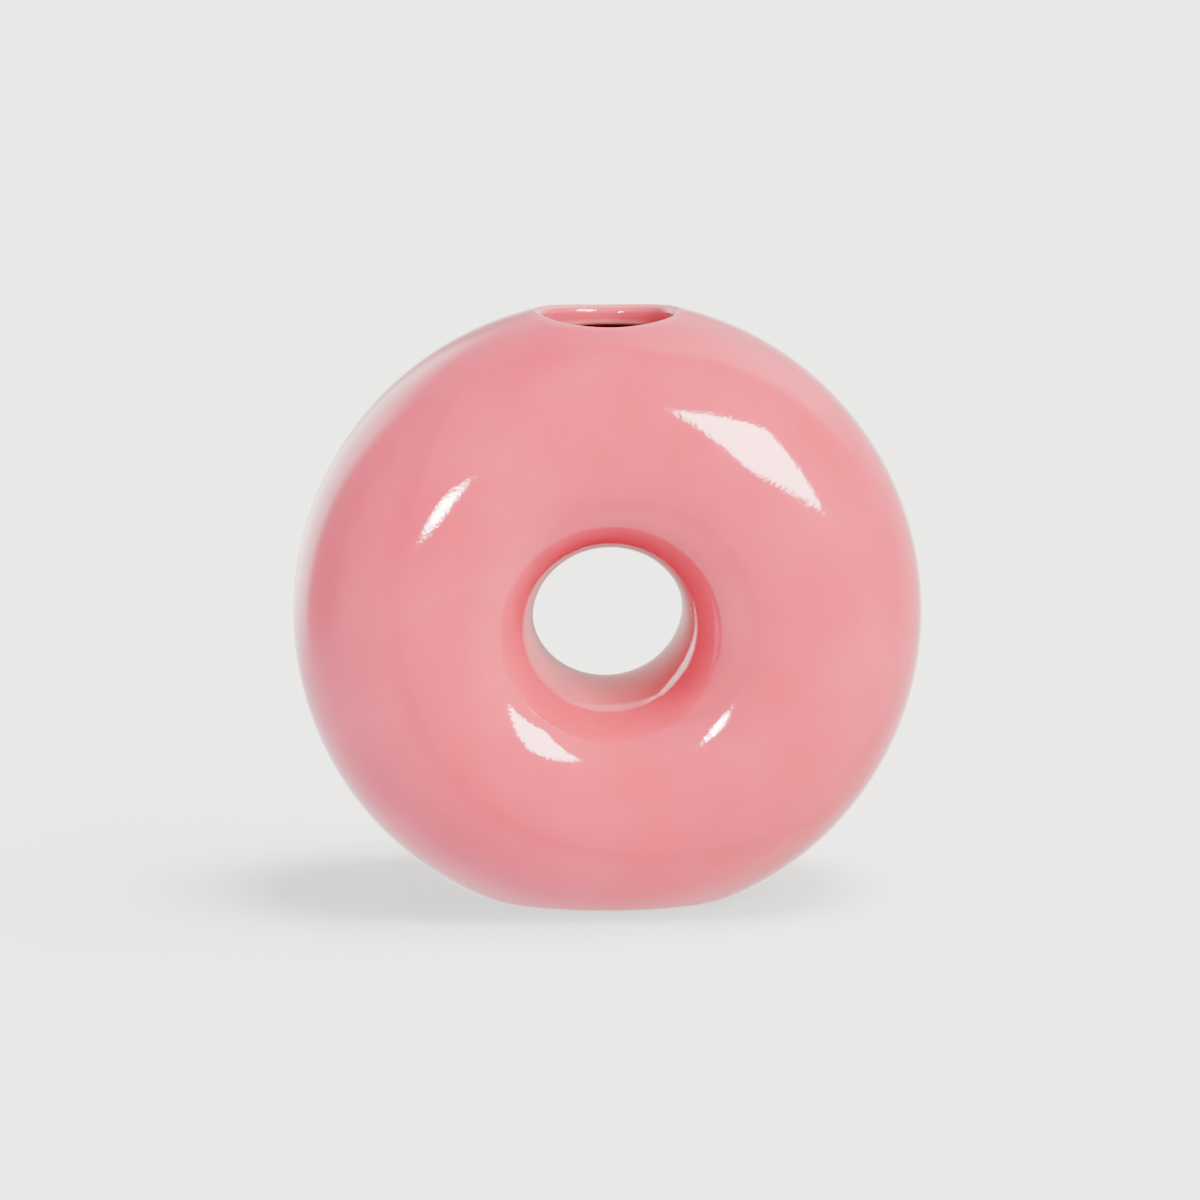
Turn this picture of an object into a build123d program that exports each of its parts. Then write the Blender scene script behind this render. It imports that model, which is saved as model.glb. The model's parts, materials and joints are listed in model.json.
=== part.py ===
from build123d import *
import math
import os

# Ring-shaped flower vase of glazed earthenware, in millimetres.
# The ring's axis lies along Y, and the mouth opens upwards, along +Z, at the top of the ring.
# Origin: middle of the flat foot, on the surface that the vase stands on.

# Glazed ring
ring_outer_radius = 100.0
throat_radius = 23.8
crest_radius = 56.0
half_depth = 50.5
outer_fullness_share = 0.58
inner_fullness_share = 0.74

# Clay wall, its coats, and the slip between the two halves
clay_wall = 6.0
glaze_thickness = 0.45
lining_thickness = 0.35
slip_thickness = 0.8

# Flat foot at the bottom of the ring
foot_cut_depth = 10.0
foot_thickness = 6.0
bare_foot_height = 0.4

# Mouth at the top of the ring, with a collar whose lower end is level
mouth_radius = 20.8
mouth_collar_width = 6.0
mouth_collar_drop = 10.8
lip_rounding = 2.4
lower_lip_rounding = 1.6

# How far a cut runs past the surface that it cuts
overrun = 5.0

ring_centre_height = ring_outer_radius - foot_cut_depth
ring_top_height = ring_centre_height + ring_outer_radius
ring_crest_height = ring_centre_height + crest_radius
collar_bottom_height = ring_top_height - mouth_collar_drop
mid_collar_height = (ring_top_height + collar_bottom_height) / 2
clay_bore_radius = mouth_radius + glaze_thickness
collar_outer_radius = clay_bore_radius + mouth_collar_width
mid_wall_inset = glaze_thickness + clay_wall / 2
hollow_inset = glaze_thickness + clay_wall
reach = ring_outer_radius + overrun


def quarter(crest, side, fullness_share):
    """Curve from the section's crest to its side, square to both axes of the section."""
    along_crest = Vector(crest.X + (side.X - crest.X) * fullness_share, crest.Y)
    along_side = Vector(side.X, side.Y + (crest.Y - side.Y) * fullness_share)
    return Bezier(crest, along_crest, along_side, side)


def ring_solid(inset):
    """Solid ring whose surface lies this far inside the glazed surface."""
    depth = half_depth - inset
    front_crest = Vector(crest_radius, -depth)
    back_crest = Vector(crest_radius, depth)
    rim = Vector(ring_outer_radius - inset, 0)
    throat = Vector(throat_radius + inset, 0)
    outline = Wire([
        quarter(front_crest, rim, outer_fullness_share),
        quarter(back_crest, rim, outer_fullness_share),
        quarter(back_crest, throat, inner_fullness_share),
        quarter(front_crest, throat, inner_fullness_share),
    ])
    turned = revolve(Face(outline), axis=Axis.Y)
    return Pos(0, 0, ring_centre_height) * Rot(0, 90, 0) * turned


def block(low, high):
    """Box between two corners."""
    size = high - low
    middle = (low + high) / 2
    return Pos(middle.X, middle.Y, middle.Z) * Box(size.X, size.Y, size.Z)


def above(height):
    """Everything higher than a level plane, as far as the ring reaches."""
    return block(Vector(-reach, -reach, height), Vector(reach, reach, 2 * reach))


def on_mouth_axis(radius, bottom):
    """Upright cylinder on the mouth's axis, from a height to past the ring's top."""
    length = ring_top_height + overrun - bottom
    return Pos(0, 0, bottom + length / 2) * Cylinder(radius, length)


def bore_edges(shape, radius, at_lip):
    """Edges round the mouth's bore, at its lip or else at its lower end."""
    found = []
    for edge in shape.edges().filter_by(GeomType.LINE, reverse=True):
        places = [edge.position_at(share) for share in (0, 0.5, 1)]
        on_bore = all(
            abs(math.hypot(place.X, place.Y) - radius) < lining_thickness / 10
            for place in places
        )
        high = max(place.Z for place in places) > mid_collar_height
        if on_bore and high == at_lip:
            found.append(edge)
    return found


def vessel(inset, coat, lining):
    """Hollow ring with a flat floor inside and a collared mouth, at one depth of its coats.

    The inset is measured from the glazed surface, and the coat and the lining are what
    this body adds to the clay outside and inside.
    """
    bore = clay_bore_radius - coat
    collar_room = on_mouth_axis(collar_outer_radius + lining, collar_bottom_height - lining)
    hollow = ring_solid(hollow_inset + lining) & above(foot_thickness + lining)
    hollow = hollow - collar_room
    body = ring_solid(inset) - hollow - on_mouth_axis(bore, ring_crest_height)
    body = body.fillet(lip_rounding - inset, bore_edges(body, bore, True))
    return body.fillet(lower_lip_rounding - inset, bore_edges(body, bore, False))


# The clay body without its glaze, and the same body with its glaze on
clay = vessel(glaze_thickness, 0, 0) & above(0)
glazed = vessel(0, glaze_thickness, lining_thickness) & above(bare_foot_height)

# Foot: a slab that closes the bottom of the hollow, flat and bare underneath
foot = clay - above(foot_thickness)

# Mouth collar: a ring of clay let into both halves
collar_seat = on_mouth_axis(collar_outer_radius, collar_bottom_height - overrun)
mouth_collar = clay & collar_seat

# Front and back halves of the ring, butted together with slip
shell = (clay & above(foot_thickness)) - collar_seat
half_slip = slip_thickness / 2
front_side = block(Vector(-reach, -reach, 0), Vector(reach, -half_slip, 2 * reach))
back_side = block(Vector(-reach, half_slip, 0), Vector(reach, reach, 2 * reach))
front_half = shell & front_side
back_half = shell & back_side

# Slip: a ring round the throat, and a ring round the rim that the mouth and foot break
slip = shell - front_side - back_side
throat_room = Pos(0, 0, ring_centre_height) * Rot(90, 0, 0) * Cylinder(crest_radius, 2 * half_depth)
throat_slip = slip & throat_room
rim_slip = slip - throat_room

# Glaze: a coat over the outside, the lip, the bore and the collar's lower edge
coats = glazed - clay
mouth_core = on_mouth_axis(clay_bore_radius + lower_lip_rounding, collar_bottom_height - overrun)
lined_room = ring_solid(mid_wall_inset) - mouth_core
outer_glaze = coats - lined_room

# Lining: the glaze inside the hollow, up to where the outer coat ends under the collar
inner_glaze = coats & lined_room

pieces = {
    "foot": foot,
    "mouth_collar": mouth_collar,
    "front_half": front_half,
    "back_half": back_half,
    "throat_slip": throat_slip,
    "rim_slip": rim_slip,
    "outer_glaze": outer_glaze,
    "inner_glaze": inner_glaze,
}
os.makedirs("parts", exist_ok=True)
for name, piece in pieces.items():
    export_step(piece, f"parts/{name}.step")
    print(name, len(piece.solids()), round(piece.volume, 1), piece.is_valid)
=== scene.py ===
import json
import math

import bpy
import numpy as np
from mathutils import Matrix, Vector


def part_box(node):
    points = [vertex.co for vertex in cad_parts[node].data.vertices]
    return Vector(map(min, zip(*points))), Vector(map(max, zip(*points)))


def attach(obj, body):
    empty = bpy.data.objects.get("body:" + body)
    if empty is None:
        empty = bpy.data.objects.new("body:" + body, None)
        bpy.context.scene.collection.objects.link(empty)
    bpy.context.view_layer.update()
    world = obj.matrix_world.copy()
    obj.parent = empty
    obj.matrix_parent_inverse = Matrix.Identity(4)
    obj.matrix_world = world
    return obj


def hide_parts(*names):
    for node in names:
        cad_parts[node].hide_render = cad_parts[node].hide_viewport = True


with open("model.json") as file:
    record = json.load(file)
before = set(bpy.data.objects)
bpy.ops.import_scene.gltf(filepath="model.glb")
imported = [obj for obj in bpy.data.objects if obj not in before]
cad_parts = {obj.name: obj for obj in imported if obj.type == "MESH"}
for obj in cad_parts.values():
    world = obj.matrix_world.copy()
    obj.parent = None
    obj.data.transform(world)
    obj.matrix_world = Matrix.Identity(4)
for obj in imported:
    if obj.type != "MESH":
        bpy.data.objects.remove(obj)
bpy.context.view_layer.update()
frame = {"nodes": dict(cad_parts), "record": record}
scene = bpy.context.scene


# Camera
# A long lens, a little to the left of the ring and above it, that gives the ring the place and
# size that it has in the picture. A direction is degrees to the right of straight in front and
# degrees up, and lengths are in metres where neither a name nor a comment says millimetres.

MM = 0.001
FRAME_PIXELS = 1200
RING_MIDDLE_PIXELS = (607.6, 611.9)
RING_RADIUS_PIXELS = 314.05
CAMERA_DIRECTION = (-1.8, 11.5)
CAMERA_DISTANCE = 2.2
SENSOR_MM = 36

throat_low, throat_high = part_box("throat_slip")
coat_low, coat_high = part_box("outer_glaze")
ring_middle = (throat_low + throat_high) / 2
ring_radius = (coat_high.x - coat_low.x) / 2


def direction(side_degrees, rise_degrees):
    """Unit vector away from the vase: side 0 is straight in front and 90 is to the right."""
    side, rise = math.radians(side_degrees), math.radians(rise_degrees)
    level = math.cos(rise)
    return Vector((math.sin(side) * level, -math.cos(side) * level, math.sin(rise)))


def stand(name, data, side_degrees, rise_degrees, distance):
    """Stands a camera or a light off the ring's middle and turns it to face the ring."""
    made = bpy.data.objects.new(name, data)
    way = direction(side_degrees, rise_degrees)
    made.location = ring_middle + way * distance
    made.rotation_euler = (-way).to_track_quat("-Z", "Y").to_euler()
    scene.collection.objects.link(made)
    return made


lens = bpy.data.cameras.new("camera")
lens.sensor_width = SENSOR_MM
lens.lens = SENSOR_MM * RING_RADIUS_PIXELS * CAMERA_DISTANCE / ring_radius / FRAME_PIXELS
lens.shift_x = 0.5 - RING_MIDDLE_PIXELS[0] / FRAME_PIXELS
lens.shift_y = RING_MIDDLE_PIXELS[1] / FRAME_PIXELS - 0.5
scene.camera = stand("camera", lens, *CAMERA_DIRECTION, CAMERA_DISTANCE)
scene.view_settings.view_transform = "AgX"
scene.view_settings.look = "AgX - High Contrast"


# Clay body: foot, two halves of the ring and mouth collar
# Fine buff earthenware, pressed into two half-ring moulds, trimmed and sponged while damp.
# The halves are butted together, and the foot slab and the collar are let into them.

BUFF_CLAY = "DCCDB4"
BUFF_CLAY_SHADE = "C9B695"
SPONGED_CLOUD_MM = 9.0
SPONGED_DETAIL = 4.0
GROG_SPACING_MM = 0.9
GROG_HEIGHT_MM = 0.04
GROG_SHOWS_FROM = 0.62
GROG_SHOWS_FULLY = 0.75
CLAY_ROUGHNESS = 0.85
CLAY_IOR = 1.45
CLAY_SPECULAR = 0.3


def colour(code):
    """sRGB hex code turned to linear light, with full alpha."""
    shares = [int(code[at:at + 2], 16) / 255 for at in (0, 2, 4)]
    lit = [c / 12.92 if c <= 0.04045 else ((c + 0.055) / 1.055) ** 2.4 for c in shares]
    return (*lit, 1.0)


def add(tree, kind, inputs=(), **settings):
    """Adds one node. Inputs are values or other nodes' sockets, by name or by number."""
    made = tree.nodes.new(kind)
    for name, value in settings.items():
        setattr(made, name, value)
    for socket, value in dict(inputs).items():
        if isinstance(value, bpy.types.NodeSocket):
            tree.links.new(value, made.inputs[socket])
        else:
            made.inputs[socket].default_value = value
    return made


def new_material(name):
    """An empty node material: the material, its tree, and a point's place on the object."""
    made = bpy.data.materials.new(name)
    made.use_nodes = True
    made.node_tree.nodes.clear()
    place = add(made.node_tree, "ShaderNodeTexCoord").outputs["Object"]
    return made, made.node_tree, place


def cloud(tree, place, size_mm, detail=2.0):
    """Soft noise whose patches are about this wide, from 0 to 1."""
    return add(tree, "ShaderNodeTexNoise", {"Vector": place, "Scale": 1 / (size_mm * MM),
                                            "Detail": detail}).outputs["Fac"]


def fired_clay(name, light, shade):
    """Bare fired earthenware: matt and chalky, with the sponge's clouds and specks of grog."""
    made, tree, place = new_material(name)
    clouds = cloud(tree, place, SPONGED_CLOUD_MM, SPONGED_DETAIL)
    grog = cloud(tree, place, GROG_SPACING_MM)
    body = add(tree, "ShaderNodeMix", {"Factor": clouds, "A": colour(light), "B": colour(shade)},
               data_type="RGBA")
    speck = add(tree, "ShaderNodeMapRange", {
        "Value": grog, "From Min": GROG_SHOWS_FROM, "From Max": GROG_SHOWS_FULLY})
    freckled = add(tree, "ShaderNodeMix", {"Factor": speck.outputs["Result"],
                                           "A": body.outputs["Result"], "B": colour(shade)},
                   data_type="RGBA")
    bump = add(tree, "ShaderNodeBump", {"Height": grog, "Distance": GROG_HEIGHT_MM * MM})
    shader = add(tree, "ShaderNodeBsdfPrincipled", {
        "Base Color": freckled.outputs["Result"], "Roughness": CLAY_ROUGHNESS, "IOR": CLAY_IOR,
        "Specular IOR Level": CLAY_SPECULAR, "Normal": bump.outputs["Normal"]})
    add(tree, "ShaderNodeOutputMaterial", {"Surface": shader.outputs["BSDF"]})
    return made


def dress(node, material):
    """Gives a carried-over piece its material."""
    slots = frame["nodes"][node].data.materials
    slots.clear()
    slots.append(material)


clay = fired_clay("sponged buff earthenware", BUFF_CLAY, BUFF_CLAY_SHADE)
for node in ("foot", "front_half", "back_half", "mouth_collar"):
    dress(node, clay)


# Slip between the halves, round the rim and round the throat
# The same clay let down with water to a cream. It is brushed on both edges before the halves
# are pressed together, and it dries a shade darker than the clay.

SLIP = "CDBB9E"
SLIP_SHADE = "BBA583"

slip = fired_clay("brushed joining slip", SLIP, SLIP_SHADE)
for node in ("throat_slip", "rim_slip"):
    dress(node, slip)


# Outer glaze
# One coat of glossy pink earthenware glaze, poured over the outside and over the lip into the
# bore, and fired smooth. It ends in a thin rolled edge just above the foot. The lengths of this
# section are in millimetres.

GLAZE = 0.45
LINING = 0.35
CLAY_WALL = 6.0
CREST_RADIUS = 56.0
OUTER_FULLNESS = 0.58
INNER_FULLNESS = 0.74
LIP_ROUNDING = 2.4
LOWER_LIP_ROUNDING = 1.6
COLLAR_DROP = 10.8

# Steps and rows of the mesh. A window has half its steps round the ring and round the section
RING_STEPS = 320
SECTION_STEPS = 144
MOUTH_WINDOW = (19, 16)
FOOT_WINDOW = (30, 21)
CURVE_SAMPLES = 2001
LIP_ROUNDS = 8
LIP_SLOPE_REACH = GLAZE / 4
ROWS_TO_LIP = 7
LIP_ROWS = 10
BORE_ROWS = 5
LOWER_LIP_ROWS = 8
HALVINGS = 40
ROWS_TO_EDGE = 9
EDGE_ROWS = 6
EDGE_TURN = 1.45

mouth = next(m for m in frame["record"]["mounts"] if m["name"] == "mouth")
MOUTH_RADIUS = mouth["dims"]["r_mm"]
RIM_RADIUS = ring_radius / MM
HALF_DEPTH = (coat_high.y - coat_low.y) / 2 / MM
THROAT_RADIUS = (throat_high.x - throat_low.x) / 2 / MM - CLAY_WALL - GLAZE
MIDDLE_HEIGHT = ring_middle.z / MM
GLAZE_END_HEIGHT = coat_low.z / MM
COLLAR_END_HEIGHT = MIDDLE_HEIGHT + RIM_RADIUS - COLLAR_DROP - LINING


def section(turn, inset):
    """Distance from the ring's axis, and depth along it, round the ring's section.

    The turn goes 0 rim, 1 back crest, 2 throat, 3 front crest, 4 rim. Each quarter between a
    side (rim or throat) and a crest is a Bezier curve, square to the section's axes at its
    ends, whose two inner points stand a fullness share of the way to the quarter's corner. The
    sides and the crests lie the inset deeper than the glazed surface.
    """
    turn = np.mod(turn, 4)
    outer = (turn < 1) | (turn > 3)
    side = np.where(outer, RIM_RADIUS - inset, THROAT_RADIUS + inset)
    fullness = np.where(outer, OUTER_FULLNESS, INNER_FULLNESS)
    u = 1 - np.abs(1 - np.mod(turn, 2))
    second, third, last = 3 * (1 - u) ** 2 * u, 3 * (1 - u) * u ** 2, u ** 3
    radius = side + (CREST_RADIUS - side) * ((1 - fullness) * third + last)
    depth = (HALF_DEPTH - inset) * (fullness * second + third + last)
    return radius, np.where(turn < 2, depth, -depth)


def ring_height(x, y, inset, up):
    """Height of the ring's outer surface over or under a point of the plan.

    The section gives the ring's radius at that depth, and a circle of that radius about the
    ring's axis gives the height, above the axis for up 1 and below it for up -1.
    """
    radii, depths = section(np.linspace(0, 1, CURVE_SAMPLES), inset)
    radius = np.interp(np.abs(y), depths, radii)
    return MIDDLE_HEIGHT + up * np.sqrt(radius ** 2 - x ** 2)


def between(rows):
    """Shares from 0 to 1, even and without both ends, one for each of these rows."""
    return np.linspace(0, 1, rows + 2)[1:-1]


def mouth_rows(plan, inset):
    """Rows of points from the mouth's window in over the lip, down the bore and under it.

    Every column lies in an upright plane through the mouth's axis. It follows the ring's
    surface in to the lip, then a quarter circle that is tangent to the surface and to the bore,
    then the bore, then a smaller quarter circle on to the collar's level lower end. Where the
    lip starts depends on the surface's slope there, so it is worked out in a few rounds.
    """
    far = np.hypot(*plan)
    way = plan / far
    bore = MOUTH_RADIUS + inset
    lip = LIP_ROUNDING - inset
    lower = LOWER_LIP_ROUNDING - inset
    end = COLLAR_END_HEIGHT + LINING * inset / GLAZE
    start = np.full_like(far, bore + lip)
    for _ in range(LIP_ROUNDS):
        beyond, before = way * (start + LIP_SLOPE_REACH), way * (start - LIP_SLOPE_REACH)
        drop = ring_height(*before, inset, 1) - ring_height(*beyond, inset, 1)
        slope = np.arctan2(drop, 2 * LIP_SLOPE_REACH)
        start = bore + lip + lip * np.sin(slope)
    centre = ring_height(*(way * start), inset, 1) - lip * np.cos(slope)
    rows = []
    for share in between(ROWS_TO_LIP):
        out = far + (start - far) * share
        rows.append((out, ring_height(*(way * out), inset, 1)))
    for share in np.linspace(0, 1, LIP_ROWS):
        angle = (np.pi / 2 - slope) * (1 - share) + np.pi * share
        rows.append((bore + lip + lip * np.cos(angle), centre + lip * np.sin(angle)))
    for share in between(BORE_ROWS):
        rows.append((np.full_like(far, bore), centre + (end + lower - centre) * share))
    for angle in np.linspace(np.pi, 1.5 * np.pi, LOWER_LIP_ROWS):
        height = np.full_like(far, end + lower + lower * np.sin(angle))
        rows.append((bore + lower + lower * np.cos(angle), height))
    rows.append((MOUTH_RADIUS + GLAZE + LOWER_LIP_ROUNDING, np.full_like(far, end)))
    return [np.stack([*(way * out), height]) for out, height in rows]


def foot_rows(plan, inset):
    """Rows of points from the foot's window in to the glaze's rolled edge above the foot.

    Every column runs straight in towards the foot's middle on the ring's underside. The last
    rows turn in through nearly a quarter circle of the coat's thickness, so that the edge meets
    the clay close to the height where the glaze ends.
    """
    def share_at(height, depth):
        """Share of the way out where the underside, this deep in, has this height, by halving."""
        low, high = np.zeros(plan.shape[1]), np.ones(plan.shape[1])
        for _ in range(HALVINGS):
            middle = (low + high) / 2
            above = ring_height(*(plan * middle), depth, -1) > height
            high, low = np.where(above, middle, high), np.where(above, low, middle)
        return high

    coat = GLAZE - inset
    turned = np.linspace(0, EDGE_TURN, EDGE_ROWS)
    heights = GLAZE_END_HEIGHT + coat * (1 - np.sin(turned))
    depths = inset + coat * (1 - np.cos(turned))
    edge = share_at(heights[0], inset)
    rows = []
    for share in between(ROWS_TO_EDGE):
        point = plan * (1 + (edge - 1) * share)
        rows.append(np.stack([*point, ring_height(*point, inset, -1)]))
    for height, depth in zip(heights, depths):
        point = plan * share_at(height, depth)
        rows.append(np.stack([*point, np.full(plan.shape[1], height)]))
    return rows


def short_way(places, steps):
    """Steps from 0 to each place on a closed round of steps, by the shorter way, signed."""
    return (places + steps // 2) % steps - steps // 2


def window_loop(middle, half_ring, half_section):
    """Grid places round the edge of a window in the ring's grid, once round in order."""
    across = np.arange(-half_ring, half_ring)
    along = np.arange(-half_section, half_section)
    ring = np.concatenate([across, np.full(len(along), half_ring), -across,
                           np.full(len(along), -half_ring)])
    turn = np.concatenate([np.full(len(across), -half_section), along,
                           np.full(len(across), half_section), -along])
    return (ring + middle) % RING_STEPS, turn % SECTION_STEPS


def coat_skin(inset):
    """One side of the glaze coat, this deep in it: points, faces and its two open edges.

    The ring is a grid of steps round the ring and steps round its section. Two windows are
    left out of it, at the mouth and at the foot, and the rows of each start from its edge.
    """
    windows = ((0, MOUTH_WINDOW, mouth_rows), (RING_STEPS // 2, FOOT_WINDOW, foot_rows))
    ring, turn = np.meshgrid(np.arange(RING_STEPS), np.arange(SECTION_STEPS), indexing="ij")
    angle = ring * 2 * np.pi / RING_STEPS
    radius, depth = section(turn * 4 / SECTION_STEPS, inset)
    grid = np.stack([radius * np.sin(angle), depth, MIDDLE_HEIGHT + radius * np.cos(angle)], -1)
    points = [grid.reshape(-1, 3)]
    beside, beyond = (ring + 1) % RING_STEPS, (turn + 1) % SECTION_STEPS
    quads = np.stack([ring * SECTION_STEPS + turn, beside * SECTION_STEPS + turn,
                      beside * SECTION_STEPS + beyond, ring * SECTION_STEPS + beyond], -1)
    kept = np.ones(ring.shape, bool)
    near_rim = short_way(turn, SECTION_STEPS)
    for middle, (half_ring, half_section), _ in windows:
        near = short_way(ring - middle, RING_STEPS)
        kept &= ~((near >= -half_ring) & (near < half_ring)
                  & (near_rim >= -half_section) & (near_rim < half_section))
    faces = [quads[kept]]
    count, edges = grid.size // 3, []
    for middle, window, rows_of in windows:
        at_ring, at_turn = window_loop(middle, *window)
        loop = at_ring * SECTION_STEPS + at_turn
        for row in rows_of(grid[at_ring, at_turn, :2].T, inset):
            new = count + np.arange(len(loop))
            faces.append(np.stack([loop, np.roll(loop, -1), np.roll(new, -1), new], -1))
            points.append(row.T)
            loop, count = new, count + len(new)
        edges.append(loop)
    return np.concatenate(points), np.concatenate(faces), edges


def closed_coat():
    """The whole coat: its glossy side, its side against the clay, and a rim joining both."""
    outside, faces, edges = coat_skin(0.0)
    inside, _, _ = coat_skin(GLAZE)
    count = len(outside)
    rims = [np.stack([edge, np.roll(edge, -1), np.roll(edge, -1) + count, edge + count], -1)
            for edge in edges]
    points = np.concatenate([outside, inside])
    faces = np.concatenate([faces, faces[:, ::-1] + count, *rims])
    used, faces = np.unique(faces, return_inverse=True)
    return points[used], faces.reshape(-1, 4)


def piece(name, points_mm, faces, material, body="root"):
    """A smooth piece from points in millimetres, with its place in its mesh."""
    mesh = bpy.data.meshes.new(name)
    mesh.from_pydata((points_mm * MM).tolist(), [], faces.tolist())
    mesh.shade_smooth()
    mesh.materials.append(material)
    made = bpy.data.objects.new(name, mesh)
    scene.collection.objects.link(made)
    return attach(made, body)


# Where the glaze is painted paler, and how much: thin glaze and a painted highlight on the lip,
# painted light on the bore, a painted highlight at its lower edge and painted light in the hole.
# A share of 1 is the palest
THIN_GLAZE_AND_PAINTED_LIGHT = "EE9C9C"
LIP_THIN_AND_HIGHLIGHT_SHARE = 0.5
BORE_THIN_AND_PAINTED_LIGHT_SHARE = 0.1
HOLE_PAINTED_LIGHT_SHARE = 0.12
LIP_THIN_AND_HIGHLIGHT_FROM = LIP_ROUNDING / 2
LIP_THIN_AND_HIGHLIGHT_REACH = 5.0
BORE_REACH = LIP_ROUNDING / 4
COLLAR_END_HIGHLIGHT_REACH = 1.5 * LOWER_LIP_ROUNDING
HOLE_PAINTED_LIGHT_REACH = 22.0


def thinness_and_painted_light(coat):
    """Stores where the glaze is painted paler, from 0 on the open ring to 1 at the bore's lower
    end.

    The lip and the bore have a share each: thin glaze and a painted highlight on the lip, painted
    light on the bore. Past the lip's middle it falls off with the square of the distance still to
    go, and near the bore's lower end, where a painted highlight lies on its rounded edge, it grows
    evenly to 1. The hole has its own share of painted light, which lifts the shade there and falls
    off evenly from its narrowest place outwards.
    """
    mesh = coat.data
    spots = np.empty(len(mesh.vertices) * 3)
    mesh.vertices.foreach_get("co", spots)
    x, y, z = spots.reshape(-1, 3).T / MM
    out = np.hypot(x, y) - MOUTH_RADIUS
    near = np.clip(1 - (out - LIP_THIN_AND_HIGHLIGHT_FROM) / LIP_THIN_AND_HIGHLIGHT_REACH, 0, 1)
    # Painted highlight on the bore's rounded lower edge, palest there
    end_highlight = np.clip((COLLAR_END_HEIGHT + COLLAR_END_HIGHLIGHT_REACH - z) / LOWER_LIP_ROUNDING, 0, 1)
    share = np.where(out < BORE_REACH, BORE_THIN_AND_PAINTED_LIGHT_SHARE, LIP_THIN_AND_HIGHLIGHT_SHARE) * (1 - end_highlight) + end_highlight
    thin = share * near ** 2 * (z > MIDDLE_HEIGHT + CREST_RADIUS)
    # Painted light in the hole, which lifts the shade there
    from_throat = np.hypot(x, z - MIDDLE_HEIGHT) - THROAT_RADIUS
    thin = np.maximum(thin, HOLE_PAINTED_LIGHT_SHARE * np.clip(1 - from_throat / HOLE_PAINTED_LIGHT_REACH, 0, 1))
    mesh.attributes.new("thin", "FLOAT", "POINT").data.foreach_set("value", thin)


PINK = "D96476"
PINK_POOLED = "C74A5C"
POOL_MM = 34.0
POOL_DETAIL = 3.0
WAVE_MM = 24.0
WAVE_DETAIL = 1.0
WAVE_HEIGHT_MM = 0.02
ORANGE_PEEL_MM = 1.4
ORANGE_PEEL_HEIGHT_MM = 0.035
GLAZE_ROUGHNESS = 0.06
GLAZE_IOR = 1.5


def glossy_glaze(name, light, pooled):
    """Glossy opaque glaze: an even glassy coat, deeper in tone where it pooled, paler where thin
    and where painted light and painted highlights lie.

    Its face has the faint waves and the orange peel that a glaze keeps when it stiffens.
    """
    made, tree, place = new_material(name)
    pools = cloud(tree, place, POOL_MM, POOL_DETAIL)
    body = add(tree, "ShaderNodeMix", {"Factor": pools, "A": colour(light), "B": colour(pooled)},
               data_type="RGBA")
    # Paler with thin glaze and a painted highlight on the lip, painted highlight at the bore's end
    # and painted light in the hole
    thin = add(tree, "ShaderNodeAttribute", attribute_name="thin").outputs["Fac"]
    body = add(tree, "ShaderNodeMix", {"Factor": thin, "A": body.outputs["Result"],
                                       "B": colour(THIN_GLAZE_AND_PAINTED_LIGHT)}, data_type="RGBA")
    wave = add(tree, "ShaderNodeBump", {"Height": cloud(tree, place, WAVE_MM, WAVE_DETAIL),
                                        "Distance": WAVE_HEIGHT_MM * MM})
    peel = add(tree, "ShaderNodeBump", {"Height": cloud(tree, place, ORANGE_PEEL_MM),
                                        "Distance": ORANGE_PEEL_HEIGHT_MM * MM,
                                        "Normal": wave.outputs["Normal"]})
    shader = add(tree, "ShaderNodeBsdfPrincipled", {
        "Base Color": body.outputs["Result"], "Roughness": GLAZE_ROUGHNESS, "IOR": GLAZE_IOR,
        "Normal": peel.outputs["Normal"]})
    add(tree, "ShaderNodeOutputMaterial", {"Surface": shader.outputs["BSDF"]})
    return made


pink_glaze = glossy_glaze("glossy pink earthenware glaze", PINK, PINK_POOLED)
glaze_coat = piece("glaze_coat", *closed_coat(), pink_glaze)
# Painted paler glaze: thin glaze and painted highlights at the mouth, painted light in the hole
thinness_and_painted_light(glaze_coat)
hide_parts("outer_glaze")


# Inner glaze
# The same glaze, poured in, swirled round the hollow and poured out again, so that the vase
# holds water. It runs a little thinner and deeper in tone than the coat outside.

PINK_LINING = "C04F60"
PINK_LINING_POOLED = "B64656"

dress("inner_glaze", glossy_glaze("poured pink lining glaze", PINK_LINING, PINK_LINING_POOLED))


# Floor
# A sheet of milky plastic with light under it, so wide that the camera sees nothing else. The
# vase neither mirrors it nor takes its light, because the table is dimmer than this sheet.

FLOOR_HALF_WIDTH = 30.0
FLOOR_SHADE = "666664"
FLOOR_GLOW_SHADE = "E6EAE8"
FLOOR_GLOW = 0.93
FLOOR_ROUGHNESS = 0.9


def flat_piece(name, corners, material):
    """A flat piece of the stage from its four corners."""
    mesh = bpy.data.meshes.new(name)
    mesh.from_pydata(corners, [], [(0, 1, 2, 3)])
    mesh.materials.append(material)
    made = bpy.data.objects.new(name, mesh)
    scene.collection.objects.link(made)
    return made


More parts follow.
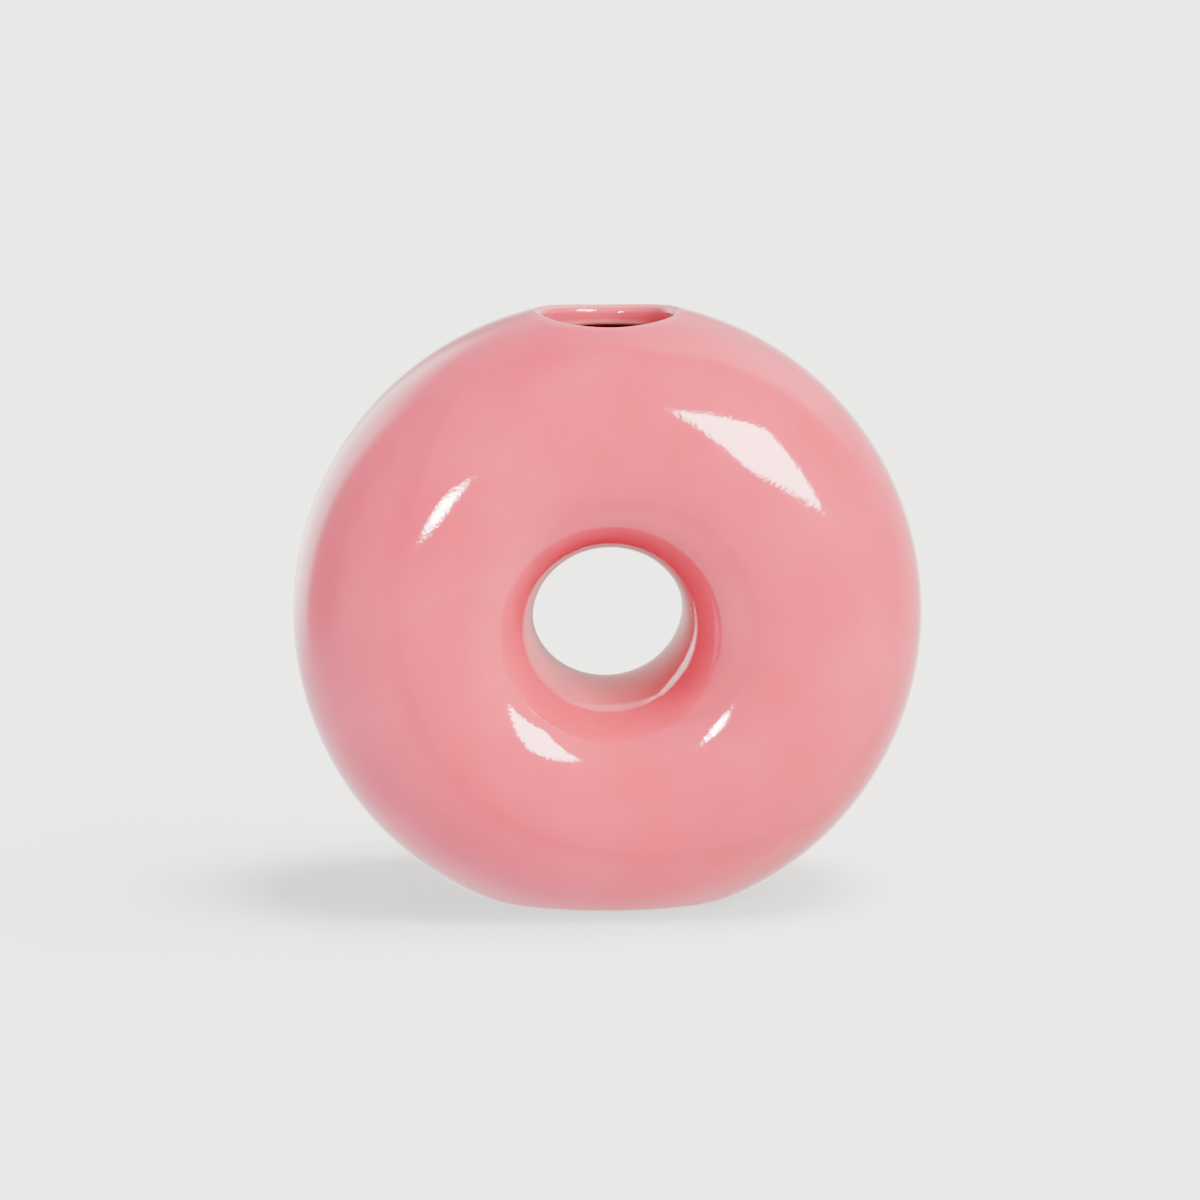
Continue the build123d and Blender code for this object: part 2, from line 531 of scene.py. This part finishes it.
sheet, sheet_tree, _ = new_material("milky plastic sheet")
sheet_shader = add(sheet_tree, "ShaderNodeBsdfPrincipled", {
    "Base Color": colour(FLOOR_SHADE), "Roughness": FLOOR_ROUGHNESS, "Specular IOR Level": 0.0,
    "Emission Color": colour(FLOOR_GLOW_SHADE), "Emission Strength": FLOOR_GLOW})
add(sheet_tree, "ShaderNodeOutputMaterial", {"Surface": sheet_shader.outputs["BSDF"]})
floor = flat_piece("floor", [(x * FLOOR_HALF_WIDTH, y * FLOOR_HALF_WIDTH, 0)
                             for x, y in ((-1, -1), (1, -1), (1, 1), (-1, 1))], sheet)
floor.visible_diffuse = False
floor.visible_glossy = False


# Felt card
# A small card of grey felt stands close behind the hole, where only the glaze mirrors it. It
# glows dimly as a painted reflection of the shade behind the vase, and its glow is painted
# brighter at its right end than at its left.

FELT_BEHIND_MM = 85.0
FELT_ENDS_MM = (-42.0, 64.0)
FELT_HEIGHTS_MM = (-62.0, 40.0)
FELT_SHADE = "FFEFE9"
FELT_LEFT_GLOW = 0.34
FELT_RIGHT_GLOW = 0.95
FELT_BLEND_MM = 30.0

felt, felt_tree, felt_place = new_material("grey felt")
felt_across = add(felt_tree, "ShaderNodeSeparateXYZ", {"Vector": felt_place}).outputs["X"]
# Painted light: the card's glow is painted brighter towards its right end
felt_glow = add(felt_tree, "ShaderNodeMapRange", {
    "Value": felt_across, "From Min": -FELT_BLEND_MM * MM, "From Max": FELT_BLEND_MM * MM,
    "To Min": FELT_LEFT_GLOW, "To Max": FELT_RIGHT_GLOW})
felt_shader = add(felt_tree, "ShaderNodeEmission", {"Color": colour(FELT_SHADE),
                                                    "Strength": felt_glow.outputs["Result"]})
add(felt_tree, "ShaderNodeOutputMaterial", {"Surface": felt_shader.outputs["Emission"]})
felt_left, felt_right = FELT_ENDS_MM
felt_low, felt_top = (MIDDLE_HEIGHT + height for height in FELT_HEIGHTS_MM)
felt_card = flat_piece("felt_card", [
    (x * MM, FELT_BEHIND_MM * MM, z * MM) for x, z in (
        (felt_left, felt_low), (felt_right, felt_low), (felt_right, felt_top),
        (felt_left, felt_top))], felt)
for ray in ("camera", "diffuse", "transmission", "volume_scatter", "shadow"):
    setattr(felt_card, f"visible_{ray}", False)


# Studio lights
# The sheen of a softbox at the right, a small bare lamp at the left and a white card beside the
# ring shine in the glaze. The softbox, a broad fill and two side panels light it with no shine.
# An overhead light and a low one at the right light only the floor, and throw the shadow on it.

# A size is degrees across and degrees high, as seen from the ring's middle
FAR = 60.0
LAMP_TINT = "FFFAF3"
SOFTBOX_DIRECTION = (41.3, 30.65)
SOFTBOX_DEGREES = (32.5, 27.3)
SOFTBOX_RADIANCE = 16.8
SHEEN_DEGREES = (34.5, 29.0)
SHEEN_RADIANCE = 30.0
SHEEN_EDGE = 0.08
FILL_DIRECTION = (28.0, 12.0)
FILL_DEGREES = (50.0, 23.0)
FILL_RADIANCE = 1.4
OVERHEAD_DIRECTION = (90.0, 75.0)
OVERHEAD_DEGREES = (24.0, 24.0)
OVERHEAD_RADIANCE = 80.0
LOW_RIGHT_DIRECTION = (85.0, 36.0)
LOW_RIGHT_DEGREES = (70.0, 45.0)
LOW_RIGHT_RADIANCE = 12.0
LAMP_DIRECTION = (-26.0, 10.4)
LAMP_DISTANCE = 1.5
LAMP_DEGREES = (10.5, 11.5)
LAMP_RADIANCE = 120.0
LAMP_EDGE = 0.4
SIDE_PANEL_DIRECTIONS = ((-104.0, 0.0), (98.0, 8.0))
SIDE_PANEL_DEGREES = (50.0, 50.0)
SIDE_PANEL_RADIANCE = 0.9
WHITE_CARD_DIRECTION = (-140.4, 12.0)
WHITE_CARD_DISTANCE = 0.51
WHITE_CARD_DEGREES = (46.0, 62.0)
WHITE_CARD_RADIANCE = 1.8
WHITE_CARD_EDGE = 0.3


def soften(lamp, soft_edge):
    """Lets a light's radiance fall off over this share of its width at each edge.

    A place on the light goes from 0 to 1 both ways, so an edge is 0.5 away from the middle.
    """
    lamp.use_nodes = True
    tree = lamp.node_tree
    tree.nodes.clear()
    place = add(tree, "ShaderNodeNewGeometry").outputs["Parametric"]
    parts = add(tree, "ShaderNodeSeparateXYZ", {"Vector": place}).outputs
    level = 1.0
    for axis in "XY":
        off = add(tree, "ShaderNodeMath", {0: parts[axis], 1: 0.5}, operation="SUBTRACT")
        off = add(tree, "ShaderNodeMath", {0: off.outputs[0]}, operation="ABSOLUTE")
        fall = add(tree, "ShaderNodeMapRange", {
            "Value": off.outputs[0], "From Min": 0.5, "From Max": 0.5 - soft_edge},
            interpolation_type="SMOOTHSTEP")
        level = add(tree, "ShaderNodeMath", {0: fall.outputs[0], 1: level}, operation="MULTIPLY")
        level = level.outputs[0]
    glow = add(tree, "ShaderNodeEmission", {"Strength": level})
    add(tree, "ShaderNodeOutputLight", {"Surface": glow.outputs["Emission"]})


def area_light(name, where, distance, degrees, radiance, lit, soft_edge=0.0):
    """A rectangular light that fills these angles as seen from the vase, at this radiance."""
    lamp = bpy.data.lights.new(name, "AREA")
    lamp.shape = "RECTANGLE"
    lamp.size, lamp.size_y = (2 * distance * math.tan(math.radians(angle / 2)) for angle in degrees)
    lamp.energy = radiance * math.pi * lamp.size * lamp.size_y
    lamp.color = colour(LAMP_TINT)[:3]
    if soft_edge:
        soften(lamp, soft_edge)
    made = stand(name, lamp, *where, distance)
    made.light_linking.receiver_collection = lit
    return made


def lit_group(name, pieces):
    """A collection that a light is kept to."""
    made = bpy.data.collections.new(name)
    for each in pieces:
        made.objects.link(each)
    return made


vase = lit_group("vase", (glaze_coat, *frame["nodes"].values()))
ground = lit_group("ground", (floor,))
sheen = area_light("softbox_sheen", SOFTBOX_DIRECTION, FAR, SHEEN_DEGREES, SHEEN_RADIANCE, vase,
                   SHEEN_EDGE)
softbox = area_light("softbox", SOFTBOX_DIRECTION, FAR, SOFTBOX_DEGREES, SOFTBOX_RADIANCE, vase)
fill = area_light("fill", FILL_DIRECTION, FAR, FILL_DEGREES, FILL_RADIANCE, vase)
overhead = area_light("overhead", OVERHEAD_DIRECTION, FAR, OVERHEAD_DEGREES, OVERHEAD_RADIANCE,
                      ground)
low_right = area_light("low_right", LOW_RIGHT_DIRECTION, FAR, LOW_RIGHT_DEGREES,
                       LOW_RIGHT_RADIANCE, ground)
area_light("bare_lamp", LAMP_DIRECTION, LAMP_DISTANCE, LAMP_DEGREES, LAMP_RADIANCE, vase, LAMP_EDGE)
panels = [area_light("side_panel", where, FAR, SIDE_PANEL_DEGREES, SIDE_PANEL_RADIANCE, vase)
          for where in SIDE_PANEL_DIRECTIONS]
white_card = area_light("white_card", WHITE_CARD_DIRECTION, WHITE_CARD_DISTANCE,
                        WHITE_CARD_DEGREES, WHITE_CARD_RADIANCE, vase, WHITE_CARD_EDGE)
for shine in (sheen, white_card):
    shine.visible_diffuse = False
for soft_light in (softbox, fill, overhead, low_right, *panels):
    soft_light.visible_glossy = False


# Studio surroundings
# The room that the glaze mirrors: white panels behind the vase, brightest high up at the right,
# a card in line with the hole, a table below, and the open room in front. It is bluer at the
# left, warmer at the right, and dimmer in front for plain shading than for reflections.

# Radiance at some angles off the ring's axis, behind or in front of the vase, right being plus
LOW_PANELS = ((-90, 0.9), (-30, 1.1), (-16, 1.0), (-5, 0.8), (6, 0.8), (16, 1.15), (45, 1.15),
              (90, 1.0))
HIGH_PANELS = ((-90, 0.8), (-62, 0.9), (-50, 1.1), (-22, 1.2), (22, 1.6), (50, 2.2),
               (62, 1.0), (90, 0.9))
TABLE = ((-90, 1.8), (-60, 1.7), (-28, 1.5), (-8, 1.3), (10, 1.3), (26, 1.3), (60, 1.3), (90, 1.5))
FRONT_ROOM = ((-90, 1.2), (-50, 1.1), (0, 0.8), (60, 1.3), (90, 1.3))
FRONT_TABLE = ((-90, 2.2), (-50, 2.1), (0, 1.3), (60, 1.8), (90, 1.9))
BRIGHTEST = 3.0
BELOW_RADIANCE = 1.9
CEILING_RADIANCE = 0.75
BACK_CARD_RADIANCE = 1.6
FRONT_DIFFUSE_SHARE = 0.45

# Where one part of the surroundings goes over into the next
BELOW_TO_TABLE_DEGREES = (-62.0, -38.0)
TABLE_TO_PANELS_DEGREES = (-22.0, -6.0)
TABLE_TO_ROOM_DEGREES = (-30.0, 20.0)
LOW_TO_HIGH_DEGREES = (12.0, 34.0)
HIGH_TO_CEILING_DEGREES = (70.0, 80.0)
BACK_CARD_DEGREES = (24.0, 10.0)
BEHIND_BLEND = 0.3
LEFT_TINT = "F3F3FF"
RIGHT_TINT = "FFEFE2"

world = bpy.data.worlds.new("studio")
world.use_nodes = True
scene.world = world
sky = world.node_tree
sky.nodes.clear()


def arithmetic(operation, *values):
    """One step of arithmetic on the light's values."""
    return add(sky, "ShaderNodeMath", dict(enumerate(values)), operation=operation).outputs[0]


def across(angle, span):
    """Goes smoothly from 0 to 1 as an angle goes over this span of degrees."""
    low, high = (math.radians(end) for end in span)
    return add(sky, "ShaderNodeMapRange", {"Value": angle, "From Min": low, "From Max": high},
               interpolation_type="SMOOTHSTEP").outputs["Result"]


def across_evenly(angle):
    """Share of the way from -90 to 90 degrees."""
    return add(sky, "ShaderNodeMapRange", {
        "Value": angle, "From Min": -math.pi / 2, "From Max": math.pi / 2}).outputs["Result"]


def blend(share, first, second):
    """Mixes two radiances by a share."""
    return add(sky, "ShaderNodeMix", {"Factor": share, "A": first, "B": second}).outputs["Result"]


def radiance(angle, stops):
    """Radiance by an angle from -90 to 90 degrees, as a soft curve through stops."""
    ramp = add(sky, "ShaderNodeValToRGB", {"Fac": across_evenly(angle)})
    ramp.color_ramp.interpolation = "EASE"
    points = ramp.color_ramp.elements
    while len(points) < len(stops):
        points.new(0.5)
    for point, (degrees, value) in zip(points, stops):
        point.position = (degrees + 90) / 180
        point.color = (*(value / BRIGHTEST,) * 3, 1)
    return arithmetic("MULTIPLY", ramp.outputs["Color"], BRIGHTEST)


seen = add(sky, "ShaderNodeTexCoord").outputs["Generated"]
facing = add(sky, "ShaderNodeSeparateXYZ", {"Vector": seen}).outputs
rise = arithmetic("ARCSINE", facing["Z"])
side = arithmetic("ARCTAN2", facing["X"], arithmetic("ABSOLUTE", facing["Y"]))

behind = blend(across(rise, LOW_TO_HIGH_DEGREES), radiance(side, LOW_PANELS),
               radiance(side, HIGH_PANELS))
behind = blend(across(rise, HIGH_TO_CEILING_DEGREES), behind, CEILING_RADIANCE)
behind = blend(across(rise, TABLE_TO_PANELS_DEGREES), radiance(side, TABLE), behind)
towards_card = add(sky, "ShaderNodeVectorMath", {0: seen, 1: -direction(*CAMERA_DIRECTION)},
                   operation="DOT_PRODUCT").outputs["Value"]
card_edge, card_middle = (math.cos(math.radians(angle)) for angle in BACK_CARD_DEGREES)
back_card = add(sky, "ShaderNodeMapRange", {
    "Value": towards_card, "From Min": card_edge, "From Max": card_middle}).outputs["Result"]
behind = blend(back_card, behind, BACK_CARD_RADIANCE)
behind = blend(across(rise, BELOW_TO_TABLE_DEGREES), BELOW_RADIANCE, behind)

front = blend(across(rise, TABLE_TO_ROOM_DEGREES), radiance(side, FRONT_TABLE),
              radiance(side, FRONT_ROOM))
front = blend(across(rise, BELOW_TO_TABLE_DEGREES), BELOW_RADIANCE, front)
is_diffuse = add(sky, "ShaderNodeLightPath").outputs["Is Diffuse Ray"]
front = blend(is_diffuse, front, arithmetic("MULTIPLY", front, FRONT_DIFFUSE_SHARE))

is_behind = add(sky, "ShaderNodeMapRange", {
    "Value": facing["Y"], "From Min": -BEHIND_BLEND, "From Max": BEHIND_BLEND},
    interpolation_type="SMOOTHSTEP").outputs["Result"]
tint = add(sky, "ShaderNodeMix", {"Factor": across_evenly(side), "A": colour(LEFT_TINT),
                                  "B": colour(RIGHT_TINT)}, data_type="RGBA").outputs["Result"]
background = add(sky, "ShaderNodeBackground", {"Strength": blend(is_behind, front, behind),
                                               "Color": tint})
add(sky, "ShaderNodeOutputWorld", {"Surface": background.outputs["Background"]})
